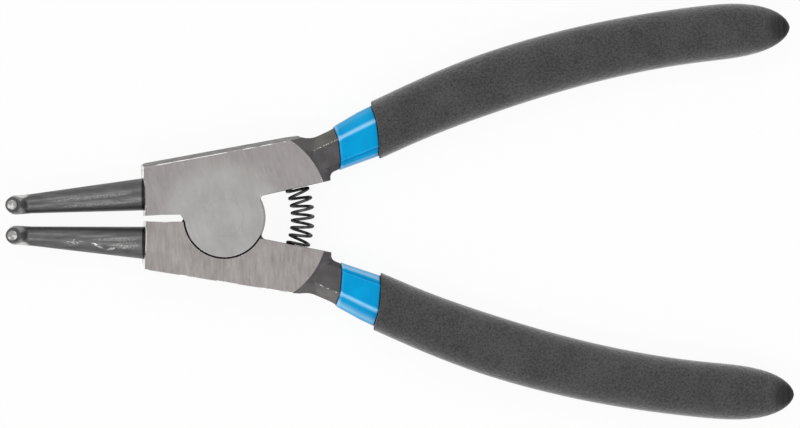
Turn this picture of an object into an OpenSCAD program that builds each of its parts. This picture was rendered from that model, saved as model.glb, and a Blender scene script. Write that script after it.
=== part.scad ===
// Circlip pliers for external rings, with the tips bent at a right angle.
// Lengths are in millimetres and angles in degrees.
// The origin lies on the pivot axis, in the back plane of the joint.
// X runs along the handles, Y towards the front lever, Z the way the tips are bent.
// Both levers are the same forging, one turned over about the X axis.
// Only the rear one is ground further in along its jaw's outer edge.

/* [Joint] */
// Thickness of the joint over its ground faces
joint_t = 10; // [9:0.25:12]
// Radius of the half-lap disc on each lever
disc_r = 9; // [8.8:0.1:9.4]
// Gap round each disc
disc_gap = 0.35; // [0.2:0.05:0.5]
// Gap between the two half-laps
lap_gap = 0.1; // [0.05:0.05:0.3]
// Radius of the pivot rivet's shank
rivet_r = 3; // [2.5:0.1:4]
// Height of each countersunk rivet head
rivet_head_h = 1.2; // [0.8:0.1:1.8]
// Running clearance round the rivet in the front lever
rivet_clear = 0.05; // [0.02:0.01:0.1]

/* [Jaws] */
// From the pivot to the jaw end, at its longest
jaw_l = 19.2; // [17:0.1:21]
// Width of the front jaw at its end
jaw_w = 12; // [11:0.1:13]
// Depth ground off the rear jaw's outer edge
rear_grind = 1.2; // [0.8:0.1:1.4]
// Chamfer at each jaw's outer corner
jaw_corner = 0.7; // [0.4:0.1:1]
// Slit between the two jaws, at their ends
slit_w = 1.2; // [1.1:0.1:1.6]
// Slit between the two jaws, at the joint
slit_root_w = 1.6; // [1.2:0.1:2]
// Length over which the slit widens
slit_lead = 4; // [2:0.5:6]
// From the pivot to the web in the slit's root, along X
web_x = 10; // [9.7:0.1:10.1]
// Slope of the jaw's outer edge
jaw_slope = 9.7; // [8:0.1:11]
// Forging draft of the jaw's outer edge
side_draft = 6.5; // [3:0.1:7]
// Draft of the jaw's end face
end_draft = 7.4; // [4:0.1:9]
// Skew of the jaw's end face, seen from the front
end_skew = 2; // [0:0.5:4]
// From the pivot to the outer shoulder, along X
shoulder_x = 16.3; // [15:0.1:17]
// Centre of the ground face's round end, along X
face_x = 5.5; // [4.5:0.1:6.5]
// Centre of the ground face's round end, along Y
face_y = 2.3; // [1.5:0.1:3]
// Radius of the ground face's round end
face_r = 17.8; // [17:0.1:18.5]

/* [Tips] */
// Diameter of the tip rod where it leaves the jaw
tip_base_d = 7.4; // [6:0.1:8]
// Diameter of the tip rod at its bend
tip_bend_d = 4.4; // [3.8:0.1:5]
// Diameter of the bent end at the pin's shoulder
tip_shoulder_d = 3.5; // [3.2:0.1:3.7]
// Diameter of the pin that enters the ring's eye
pin_d = 2.2; // [1.6:0.1:2.4]
// Length of that pin
pin_l = 2.5; // [1.5:0.1:4]
// From the jaw end to the bent end's axis
tip_l = 29.3; // [24:0.1:36]
// From the rod's axis to the pin's end face
bent_l = 12; // [10:0.1:16]
// Bend radius on the rod's centreline
bend_r = 3.2; // [2.8:0.1:4]
// Lean of each rod towards the midline
tip_lean = 4.1; // [3:0.1:4.4]
// From the midline to the rod's axis at the jaw end
tip_y = 5.55; // [5.4:0.05:6]
// Diameter of the spigot that holds the rod in the jaw
spigot_d = 5.6; // [4.5:0.1:5.8]
// Depth of the spigot hole behind the counterbore
spigot_l = 7; // [5:0.1:8]
// Depth of the counterbore round the rod's base
counterbore_l = 1.6; // [1.2:0.1:2.5]
// Radial clearance of the rod's base and spigot in the jaw
tip_clear = 0.05; // [0.02:0.01:0.1]

/* [Neck] */
// Slope of the lever's inner edge, which the spring sits on
seat_slope = 11.8; // [10:0.1:13]
// Inner edge's end, along X
seat_x = 24; // [23:0.1:25]
// Inner edge's end, along Y
seat_y = 8.2; // [7.8:0.1:8.6]
// Radius between the disc and the inner edge
hub_fillet = 1; // [0.5:0.1:1.5]
// Radius between the inner edge's end and the shank
heel_fillet = 1.4; // [0.8:0.1:1.5]
// From the dip line back to the notch behind the outer shoulder, along the shank
notch_l = 5.2; // [4.9:0.1:5.4]
// Radius in the notch
notch_r = 5; // [3:0.1:5.4]
// From the shank's centreline to its outer side, at the neck
neck_outer = 4.25; // [4:0.05:4.5]
// From the shank's centreline to its inner side, at the neck
neck_inner = 4.6; // [4.3:0.05:4.8]
// Length of the shank inside the forged block
root_l = 9; // [8:0.5:10]

/* [Return spring] */
// Outer diameter of the coil
spring_d = 5.5; // [4.8:0.1:6]
// Wire diameter
wire_d = 0.7; // [0.5:0.05:0.8]
// Radius about the pivot that the coil follows
spring_path_r = 17.6; // [16.5:0.1:18.5]
// Depth of each drilled seat
spring_seat_l = 3.5; // [2.5:0.1:4.5]
// Radial clearance of the coil in its seats
spring_clear = 0.25; // [0.15:0.05:0.4]
// Open turns between the closed end turns
open_turns = 9; // [7:2:11]
// Gap between the closed end turns
closed_gap = 0.04; // [0.02:0.01:0.1]

/* [Handles] */
// Start of the dipped shank, along X
handle_x = 25.4; // [25:0.1:26]
// Start of the dipped shank, along Y
handle_y = 15.5; // [15.4:0.05:16]
// Distance between the two handles' ends, over their centrelines
handle_span = 83.6; // [80:0.2:90]
// Length of the straight part of the shank
straight_l = 16; // [14:0.1:18]
// Radius of the bowed part of the handle
bow_r = 230; // [210:1:280]
// Length of the whole handle from the dip line to its end
handle_l = 107.8; // [95:0.1:125]
// Width of the shank under the grip
shank_w = 10.6; // [10.2:0.1:11]
// Length over which the shank widens from the neck
flare_l = 7.8; // [6:0.1:8]
// From the shank's centreline to its outer side, where that length ends
flare_outer = 5.05; // [4.8:0.05:5.1]
// Thickness of the shank
shank_t = 6.8; // [6:0.1:7.4]
// From the shank's centreline to its outer crease
outer_crease = 2; // [1.5:0.1:3]
// Height of the shank's outer side
outer_side_h = 2; // [1.5:0.1:3]
// Width of the shank's inner bevels
inner_bevel_w = 1.5; // [0.8:0.1:2]
// Height of the shank's inner side
inner_side_h = 3.4; // [2.5:0.1:4.5]

/* [Dip coats] */
// Thickness of the inner coat
coat_t = 0.35; // [0.3:0.05:0.6]
// Length of the inner coat's thin edge
edge_l = 0.6; // [0.4:0.1:1]
// From the inner coat's edge to the grip's mouth
mouth_s = 9.75; // [9.6:0.05:11]
// Skew of the dip lines against the handle
dip_skew = 16; // [8:0.5:18]
// Bulge of the dip lines in the middle of the handle's faces
dip_bulge = 0.8; // [0:0.1:1]
// Rounding of the grip's mouth
rim_r = 0.35; // [0.25:0.05:0.6]
// Grip width at the mouth
mouth_w = 12.7; // [12.6:0.1:13.5]
// Grip width at its fullest
belly_w = 13.6; // [13:0.05:14.5]
// From the inner coat's edge to the grip's fullest place
belly_s = 40; // [25:0.5:60]
// Grip width before its rounded end
grip_end_w = 12.4; // [12.2:0.1:13.5]
// Grip thickness
grip_t = 10; // [9.8:0.1:11]
// Length of the grip's rounded end
cap_l = 14.8; // [12:0.1:17]
// Wall of the grip at its closed end
end_wall = 3; // [2:0.1:4]

/* [Hidden] */
$fn = 64;

// Overshoot of cutting tools past the faces that they cut
over = 1;
// Reach of the cutting half spaces, past the whole lever
reach = 80;
mid_z = joint_t / 2;
lap_z = mid_z + lap_gap / 2;
recess_r = disc_r + disc_gap;

// Corners of the lever's outline
front_outer_y = slit_w / 2 + jaw_w;
rear_outer_y = front_outer_y - rear_grind;
// Corners under the disc lie this share of its radius from the pivot, along X
hub_share = 0.75;
hub_x = hub_share * disc_r;
// The hub fillet runs this deep into the disc, so that the two arcs cross
hub_tuck = 0.02;
// The slit's web runs from the slit's edge to the disc, and on by this share into both
web_lap = 0.3;
web_a = asin(slit_root_w / 2 / disc_r);
web_start = [-web_x, slit_root_w / 2];
web_run = -disc_r * [cos(web_a), sin(web_a)] - web_start;
// The ground face falls away to the shank in a cone of 45 degrees
fall_h = mid_z;

// The coil meets the inner edge where the edge crosses the coil's path
seat_offset = seat_y * cos(seat_slope) - seat_x * sin(seat_slope);
spring_entry = seat_slope + asin(seat_offset / spring_path_r);
spring_mean_r = (spring_d - wire_d) / 2;
spring_arc_l = spring_path_r * spring_entry * PI / 180;
// Gap between the end turns and the seats' floors
spring_end_gap = 0.05;
spring_half_l = spring_arc_l + spring_seat_l - spring_end_gap - wire_d / 2;
closed_pitch = wire_d + closed_gap;
open_pitch = 2 * (spring_half_l - closed_pitch) / open_turns;
coil_steps = 14;
wire_sides = 8;

// Layers of the handle end one inside the other
coat_end = handle_l - end_wall;
shank_end = coat_end - coat_t;
ring_points = 24;
bow_steps = 10;
cap_steps = 5;
// Exponent of a rounded end: 2 is an ellipse, less is more pointed
cap_power = 1.65;
// Angle at which the last ring of a rounded end is closed flat
cap_stop = 86;

// The straight part's heading brings the bowed end to half the span
bow_a = (handle_l - straight_l) / bow_r * 180 / PI;
bow_end = [straight_l + bow_r * sin(bow_a), bow_r * (cos(bow_a) - 1)];
handle_angle = asin((handle_span / 2 - handle_y) / norm(bow_end)) - atan2(bow_end.y, bow_end.x);

// Place on the handle's centreline, s millimetres past the dip line
function bow_turn(s) = max(0, s - straight_l) / bow_r * 180 / PI;
function heading(s) = handle_angle - bow_turn(s);
function centre_x(s) = handle_x + min(s, straight_l) * cos(handle_angle)
    + bow_r * (sin(handle_angle) - sin(heading(s)));
function centre_y(s) = handle_y + min(s, straight_l) * sin(handle_angle)
    + bow_r * (cos(heading(s)) - cos(handle_angle));
// A point u to the outer side of the centreline and v above the middle plane
function handle_point(s, u, v) =
    [centre_x(s) - u * sin(heading(s)), centre_y(s) + u * cos(heading(s)), mid_z + v];

// Unit sections: a forged bar with bevels, larger on its outer side, and a soft round one
crease_u = 2 * outer_crease / shank_w;
bevel_u = 2 * inner_bevel_w / shank_w - 1;
outer_v = outer_side_h / shank_t;
inner_v = inner_side_h / shank_t;
bevel_corners = [[1, outer_v], [crease_u, 1], [bevel_u, 1], [-1, inner_v],
                 [-1, -inner_v], [bevel_u, -1], [crease_u, -1], [1, -outer_v]];
side_points = ring_points / len(bevel_corners);
bar_section = [for (k = [0 : len(bevel_corners) - 1], i = [0 : side_points - 1])
    let (a = bevel_corners[k], b = bevel_corners[(k + 1) % len(bevel_corners)])
    a + (b - a) * i / side_points];
// Exponent of the soft section: 2 is an ellipse, more is squarer
soft_power = 2.7;
function soft(c) = sign(c) * pow(abs(c), 2 / soft_power);
soft_section = [for (i = [0 : ring_points - 1])
    let (a = atan2(bar_section[i].y * shank_t, bar_section[i].x * shank_w))
    [soft(cos(a)), soft(sin(a))]];

// Pointed dome that closes a layer over its last cap_l millimetres
function cap(s, layer_end) = sqrt(max(0, 1 - pow(max(0, s - layer_end + cap_l) / cap_l, cap_power)));
function cap_s(k, layer_end) = layer_end - cap_l + cap_l * sin(cap_stop * k / cap_steps);

// Half width of the shank, to its outer side where c_x is positive
outer_widths = [[0, neck_outer], [flare_l, flare_outer], [straight_l, shank_w / 2]];
inner_widths = [[0, neck_inner], [flare_l, shank_w / 2]];
function half_w(s, c_x) = lookup(s, c_x > 0 ? outer_widths : inner_widths);
// Shift of a dip line along the handle, at the share c_x of its half width w
function dip_shift(c_x, w) = c_x * w * tan(dip_skew) + dip_bulge * (1 - c_x * c_x);
// Rings round the handle, square to it where dip is 0 and along a dip line where it is 1
function bar_ring(s, grow, layer_end, dip = 0) = [for (c = bar_section)
    let (at = s + dip * dip_shift(c.x, half_w(s, c.x) + grow), k = cap(s, layer_end))
    handle_point(at, c.x * (half_w(at, c.x) + grow) * k, c.y * (shank_t / 2 + grow) * k)];
function grip_w(s) = lookup(s, [[mouth_s, mouth_w], [belly_s, belly_w], [handle_l - cap_l, grip_end_w]]);
function grip_ring(s, inset, dip = 0) = [for (c = soft_section)
    let (w = grip_w(s) / 2 - inset, at = s + dip * dip_shift(c.x, w), k = cap(s, handle_l))
    handle_point(at, c.x * w * k, c.y * (grip_t / 2 - inset) * k)];

// Stations along the bow and round the end of a layer
function bow_stations(layer_end) = [for (i = [0 : bow_steps - 1])
    straight_l + (layer_end - cap_l - straight_l) * i / bow_steps];
function end_stations(layer_end) = [for (k = [0 : cap_steps]) cap_s(k, layer_end)];
function stations(layer_end) = concat(bow_stations(layer_end), end_stations(layer_end));
function middle(ring) = [for (c = [1 : len(ring)]) 1] * ring / len(ring);
function backwards(list) = [for (i = [len(list) - 1 : -1 : 0]) list[i]];

bar_stations = concat([flare_l], stations(shank_end));
coat_stations = stations(coat_end);
grip_stations = stations(handle_l);

// Points of the arc that rounds the corner b between a and c
fillet_steps = 5;
function unit(v) = v / norm(v);
function flat(p) = [p.x, p.y];
function corner_arc(a, b, c, r) =
    let (u = unit(a - b),
         v = unit(c - b),
         half = acos(u * v) / 2,
         centre = b + unit(u + v) * r / sin(half),
         from = b + u * r / tan(half) - centre,
         to = b + v * r / tan(half) - centre)
    [for (i = [0 : fillet_steps])
        let (k = i / fillet_steps)
        centre + r * unit(from * sin((90 - half) * 2 * (1 - k)) + to * sin((90 - half) * 2 * k))];

// Skin over a row of rings that all have n points, closed at both ends by a fan
module loft(rings) {
    n = len(rings[0]);
    last = len(rings) - 1;
    start_mid = n * len(rings);
    end_mid = start_mid + 1;
    skin = [for (r = [0 : last - 1], j = [0 : n - 1])
        let (a = r * n + j, b = r * n + (j + 1) % n)
        each [[a, a + n, b], [b, a + n, b + n]]];
    start_fan = [for (j = [0 : n - 1]) [start_mid, j, (j + 1) % n]];
    end_fan = [for (j = [0 : n - 1]) [end_mid, last * n + (j + 1) % n, last * n + j]];
    points = concat([for (r = rings) each r], [middle(rings[0]), middle(rings[last])]);
    polyhedron(points, concat(start_fan, skin, end_fan));
}

// The same piece on the rear lever
module turned_over() {
    translate([0, 0, joint_t]) rotate([180, 0, 0]) children();
}

// Forged lever, whose jaw's outer edge starts at outer_y
module lever_outline(outer_y) {
    shoulder = [shoulder_x, outer_y + (jaw_l + shoulder_x) * tan(jaw_slope)];
    notch = flat(handle_point(-notch_l, neck_outer, 0));
    shank_edge = flat(handle_point(0, neck_outer, 0));
    polygon(concat(
        [[-jaw_l - over, slit_w / 2],
         [-jaw_l, slit_w / 2],
         [-jaw_l + slit_lead, slit_root_w / 2],
         [-hub_x, slit_root_w / 2],
         [hub_x, seat_y - (seat_x - hub_x) * tan(seat_slope)],
         [seat_x, seat_y],
         [seat_x, handle_y],
         shank_edge],
        corner_arc(shank_edge, notch, shoulder, notch_r),
        [shoulder,
         [-jaw_l + jaw_corner, outer_y + jaw_corner * tan(jaw_slope)],
         [-jaw_l - over, outer_y - over]]));
}

module side_draft_cut(outer_y) {
    translate([-jaw_l, outer_y, 0])
        rotate([0, 0, jaw_slope])
            rotate([side_draft, 0, 0])
                translate([-reach / 2, 0, -reach / 2])
                    cube([reach, reach, reach]);
}

// The jaw's end leans back from its rear edge to its front edge
module end_cut(lean) {
    translate([-jaw_l, tip_y, mid_z])
        rotate([0, 0, end_skew])
            translate([0, 0, -lean * mid_z])
                rotate([0, lean * end_draft, 0])
                    translate([-reach, -reach / 2, -reach / 2])
                        cube([reach, reach, reach]);
}

// Beyond its round end the ground face falls away in a cone
module face_fall() {
    difference() {
        translate([face_x, face_y - reach / 2, joint_t - fall_h])
            cube([reach, reach, fall_h + over]);
        translate([face_x, face_y, joint_t - fall_h])
            cylinder(h = fall_h + over, r1 = face_r + fall_h, r2 = face_r - over);
    }
}

module forged_block(lean, outer_y) {
    difference() {
        linear_extrude(joint_t) lever_outline(outer_y);
        side_draft_cut(outer_y);
        end_cut(lean);
        face_fall();
        translate([0, 0, joint_t]) mirror([0, 0, 1]) face_fall();
    }
}

// Half-lap disc, with a web in the slit's root and a fillet where it meets the inner edge
module half_lap() {
    along = sqrt(pow(disc_r + hub_fillet - hub_tuck, 2) - pow(seat_offset - hub_fillet, 2));
    translate([0, 0, lap_z]) linear_extrude(joint_t - lap_z) {
        circle(disc_r);
        polygon([web_start - web_lap * web_run,
                 web_start + (1 + web_lap) * web_run,
                 [-hub_x, slit_root_w / 2]]);
        rotate(seat_slope) difference() {
            polygon([[0, 0], [along, seat_offset - hub_fillet], [along, seat_offset], [0, seat_offset]]);
            translate([along, seat_offset - hub_fillet]) circle(hub_fillet);
        }
    }
}

// Web that rounds the corner between the inner edge's end and the shank
module heel_web() {
    heel_s = (seat_x - handle_x - neck_inner * sin(handle_angle)) / cos(handle_angle);
    corner = flat(handle_point(heel_s, -neck_inner, 0));
    shank_side = flat(handle_point(0, -neck_inner, 0));
    translate([0, 0, mid_z - inner_side_h / 2])
        linear_extrude(inner_side_h)
            polygon(concat([corner + [-over, over]],
                           corner_arc([seat_x, seat_y], corner, shank_side, heel_fillet)));
}

module shank() {
    loft([for (s = concat([-root_l, 0], bar_stations)) bar_ring(s, 0, shank_end)]);
}

// Rivet shank with a countersunk head at each face, and by clear and past the hole for it
module rivet_shape(clear, past) {
    translate([0, 0, -past])
        cylinder(h = joint_t + 2 * past, r = rivet_r + clear);
    for (side = [0, 1])
        translate([0, 0, side * joint_t])
            mirror([0, 0, side])
                cylinder(h = rivet_head_h, r1 = rivet_r + rivet_head_h + clear, r2 = rivet_r + clear);
}

module spring_seat() {
    rotate([0, 0, spring_entry])
        translate([spring_path_r, -spring_seat_l, mid_z])
            rotate([-90, 0, 0])
                cylinder(h = 2 * spring_seat_l, r = spring_d / 2 + spring_clear);
}

// Frame of a tip: X runs out along the rod from the jaw's end
module at_tip(side) {
    translate([-jaw_l + over, side * tip_y, mid_z])
        rotate([0, 0, 180 + side * tip_lean])
            children();
}

module tip_hole() {
    at_tip(1) rotate([0, 90, 0]) {
        translate([0, 0, -counterbore_l])
            cylinder(h = counterbore_l + reach / 4, r = tip_base_d / 2 + tip_clear);
        translate([0, 0, -counterbore_l - spigot_l])
            cylinder(h = spigot_l + over, r = spigot_d / 2 + tip_clear);
    }
}

module lever(lean, outer_y, rivet_fit) {
    difference() {
        union() {
            forged_block(lean, outer_y);
            half_lap();
            heel_web();
            shank();
        }
        translate([0, 0, -over]) cylinder(h = lap_z + over, r = recess_r);
        rivet_shape(rivet_fit, over);
        spring_seat();
        tip_hole();
    }
}

module front_lever() {
    color("silver") lever(1, front_outer_y, rivet_clear);
}

module rear_lever() {
    color("silver") turned_over() lever(-1, rear_outer_y, 0);
}

// Tip rod with its spigot, right-angle bend and stepped pin
module tip() {
    bend_x = tip_l - bend_r;
    pin_z = bent_l - pin_l;
    rotate([0, 90, 0]) {
        translate([0, 0, -counterbore_l - spigot_l])
            cylinder(h = spigot_l, d = spigot_d);
        translate([0, 0, -counterbore_l])
            cylinder(h = counterbore_l, d = tip_base_d);
        cylinder(h = bend_x, d1 = tip_base_d, d2 = tip_bend_d);
    }
    translate([bend_x, 0, bend_r])
        rotate([90, 0, 0])
            rotate([0, 0, -90])
                rotate_extrude(angle = 90) translate([bend_r, 0]) circle(d = tip_bend_d);
    translate([tip_l, 0, bend_r])
        cylinder(h = pin_z - bend_r, d1 = tip_bend_d, d2 = tip_shoulder_d);
    translate([tip_l, 0, pin_z])
        cylinder(h = pin_l, d = pin_d);
}

module front_tip() {
    color("dimgray") at_tip(1) tip();
}

module rear_tip() {
    color("dimgray") at_tip(-1) tip();
}

module pivot_rivet() {
    color("silver") rivet_shape(0, 0);
}

// Coil spring, wound right-handed: its axis is an arc about the pivot that runs straight into the seats
function spring_axis(s) =
    let (bent = min(spring_arc_l, max(-spring_arc_l, s)),
         a = bent / spring_path_r * 180 / PI,
         rest = s - bent)
    [spring_path_r * cos(a) - rest * sin(a), spring_path_r * sin(a) + rest * cos(a), a];
function coil_s(turn) =
    turn < 1 ? -spring_half_l + turn * closed_pitch
    : turn > open_turns + 1 ? spring_half_l - (open_turns + 2 - turn) * closed_pitch
    : -spring_half_l + closed_pitch + (turn - 1) * open_pitch;
function coil_ring(turn) =
    let (axis = spring_axis(coil_s(turn)), turn_a = 180 - 360 * turn)
    [for (i = [0 : wire_sides - 1])
        let (b = 360 * i / wire_sides,
             out = spring_mean_r + wire_d / 2 * cos(b),
             along = -wire_d / 2 * sin(b),
             side = out * cos(turn_a))
        [axis.x + side * cos(axis.z) - along * sin(axis.z),
         axis.y + side * sin(axis.z) + along * cos(axis.z),
         mid_z + out * sin(turn_a)]];

module return_spring() {
    color("black")
        loft([for (k = [0 : (open_turns + 2) * coil_steps]) coil_ring(k / coil_steps)]);
}

// Thin inner coat: its inside is the shank, its outside starts with a thin edge
module inner_sleeve() {
    inside = concat([bar_ring(0, 0, shank_end, 1)],
                    [for (s = bar_stations) bar_ring(s, 0, shank_end)]);
    outside = concat([bar_ring(edge_l, coat_t, coat_end, 1)],
                     [for (s = concat([flare_l], coat_stations)) bar_ring(s, coat_t, coat_end)]);
    loft(concat(backwards(inside), outside));
}

module front_inner_sleeve() {
    color("deepskyblue") inner_sleeve();
}

module rear_inner_sleeve() {
    color("deepskyblue") turned_over() inner_sleeve();
}

// Foam grip: its inside is the inner coat, its mouth has a rounded rim
module grip() {
    inside = concat([bar_ring(mouth_s, coat_t, coat_end, 1)],
                    [for (s = coat_stations) bar_ring(s, coat_t, coat_end)]);
    outside = concat([grip_ring(mouth_s, rim_r, 1), grip_ring(mouth_s + rim_r, 0, 1)],
                     [for (s = grip_stations) grip_ring(s, 0)]);
    loft(concat(backwards(inside), outside));
}

module front_grip() {
    color([0.25, 0.25, 0.26]) grip();
}

module rear_grip() {
    color([0.25, 0.25, 0.26]) turned_over() grip();
}

front_lever();
rear_lever();
front_tip();
rear_tip();
pivot_rivet();
return_spring();
front_inner_sleeve();
rear_inner_sleeve();
front_grip();
rear_grip();
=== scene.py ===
"""Circlip pliers with bent tips for external rings: dressed pieces, studio and camera."""

import logging
from dataclasses import dataclass
from enum import Enum
from functools import reduce
from itertools import chain
from math import asin, atan2, copysign, cos, pi, radians, sin, tan

import bmesh
import bpy
from bmesh.types import BMEdge, BMesh, BMFace, BMVert
from bpy.types import ID, Material, Mesh, Node, NodeSocket, Object
from mathutils import Matrix, Vector
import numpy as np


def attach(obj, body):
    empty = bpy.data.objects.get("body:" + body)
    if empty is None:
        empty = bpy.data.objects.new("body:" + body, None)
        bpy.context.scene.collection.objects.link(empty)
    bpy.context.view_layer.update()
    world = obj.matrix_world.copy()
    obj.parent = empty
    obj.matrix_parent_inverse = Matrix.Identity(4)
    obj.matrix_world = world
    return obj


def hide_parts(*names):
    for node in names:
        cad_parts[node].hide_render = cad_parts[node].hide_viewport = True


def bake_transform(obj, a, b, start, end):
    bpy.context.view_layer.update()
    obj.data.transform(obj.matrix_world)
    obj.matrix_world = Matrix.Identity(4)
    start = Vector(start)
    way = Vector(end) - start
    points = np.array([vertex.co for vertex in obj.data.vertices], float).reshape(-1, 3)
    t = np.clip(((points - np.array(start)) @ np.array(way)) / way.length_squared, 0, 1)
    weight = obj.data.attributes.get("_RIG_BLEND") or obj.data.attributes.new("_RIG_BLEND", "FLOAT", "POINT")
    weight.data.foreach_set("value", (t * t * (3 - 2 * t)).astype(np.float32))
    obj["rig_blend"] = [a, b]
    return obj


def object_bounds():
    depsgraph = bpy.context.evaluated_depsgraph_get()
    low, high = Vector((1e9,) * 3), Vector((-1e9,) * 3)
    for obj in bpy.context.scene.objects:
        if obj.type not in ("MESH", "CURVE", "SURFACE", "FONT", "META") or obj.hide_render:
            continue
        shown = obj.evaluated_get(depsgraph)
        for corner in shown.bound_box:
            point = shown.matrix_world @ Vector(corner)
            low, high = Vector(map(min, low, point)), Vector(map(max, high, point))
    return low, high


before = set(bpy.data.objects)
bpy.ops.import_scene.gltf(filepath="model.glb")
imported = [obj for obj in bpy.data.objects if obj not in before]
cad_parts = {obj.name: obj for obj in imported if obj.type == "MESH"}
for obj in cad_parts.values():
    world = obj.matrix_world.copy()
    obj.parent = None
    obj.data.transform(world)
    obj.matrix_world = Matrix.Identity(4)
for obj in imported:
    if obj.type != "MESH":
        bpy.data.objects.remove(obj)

CAD_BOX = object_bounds()
LOG = logging.getLogger("circlip_pliers")

MM = 0.001
JOINT_T = 10 * MM
MID_Z = JOINT_T / 2
TIP_LEAN = radians(4.1)

Colour = tuple[float, float, float, float]
Triple = tuple[float, float, float]
Pair = tuple[float, float]
Inputs = dict[str | int, object]


def srgb(*levels: int) -> Colour:
    """Turn red, green and blue display levels, 0 to 255, into the linear colour that a shader takes."""
    shares = [level / 255 for level in levels]
    return (*[v / 12.92 if v <= 0.04045 else ((v + 0.055) / 1.055) ** 2.4 for v in shares], 1.0)


def even(size: float) -> Triple:
    """The same size along all three axes."""
    return (size, size, size)


def held(share: float) -> float:
    """A share, held between 0 and 1."""
    return min(1.0, max(0.0, share))


def smoothstep(share: float) -> float:
    """Ease a share from 0 to 1 with flat ends."""
    return held(share) ** 2 * (3 - 2 * held(share))


def fan(angle: float, steps: int) -> list[float]:
    """Angles from 0 to the given one, in even steps."""
    return [angle * k / steps for k in range(steps + 1)]


def frame_at(origin: Triple, *axes: Triple) -> Matrix:
    """Frame at a point, from its X, Y and Z axes."""
    return Matrix.Translation(origin) @ Matrix(axes).transposed().to_4x4()


def stretch(x: float, y: float) -> Matrix:
    """Stretch of a flat unit section to its half sizes."""
    return Matrix.Diagonal((x, y, 1, 1))


def dress(verts: list[BMVert], finish: int) -> None:
    """Give the faces that touch some vertices one of their piece's finishes."""
    for face in {face for vert in verts for face in vert.link_faces}:
        face.material_index = finish


def mesh_from(name: str, bm: BMesh, materials: list[Material]) -> Mesh:
    """Turn a finished bmesh into a mesh.

    Args:
        name: Name of the mesh.
        bm: Finished bmesh. It is freed.
        materials: Materials of the mesh, in the order of its slots.

    Returns:
        The new mesh.
    """
    mesh = bpy.data.meshes.new(name)
    bm.to_mesh(mesh)
    bm.free()
    for material in materials:
        mesh.materials.append(material)
    return mesh


def place_object(data: ID) -> Object:
    """Put data into the scene.

    Args:
        data: Mesh, lamp or camera.

    Returns:
        The new object, with the name of its data.
    """
    thing = bpy.data.objects.new(data.name, data)
    bpy.context.scene.collection.objects.link(thing)
    return thing


class Side(Enum):
    """The two levers, one the other turned over about the X axis."""

    FRONT = "front"
    REAR = "rear"

    @property
    def body(self) -> str:
        """Body that this side's pieces ride on."""
        return f"{self.value}_body"

    @property
    def sign(self) -> int:
        """Side of the X axis on which this side's handle lies."""
        return 1 if self is Side.FRONT else -1

    @property
    def turn(self) -> Matrix:
        """Turn that takes a piece from the front lever to this side."""
        middle = Matrix.Translation((0, 0, MID_Z))
        return middle @ Matrix.Rotation(pi if self is Side.REAR else 0.0, 4, "X") @ middle.inverted()


class Skin(Enum):
    """Surfaces of a lever, in the order of its material slots."""

    FORGED = 0
    BEVEL = 1
    CREASE = 2
    GROUND = 3
    GROUND_EDGE = 4
    BURR = 5
    JAW_END = 6
    JAW_RIM = 7
    JAW_SIDE = 8
    MILLED = 9


class Slot(Enum):
    """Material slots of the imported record."""

    GROUND = "ground_steel"
    TIP = "tip_steel"
    RIVET = "rivet_steel"
    SPRING = "spring_steel"
    BLUE = "blue_dip"
    FOAM = "foam_dip"


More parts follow.
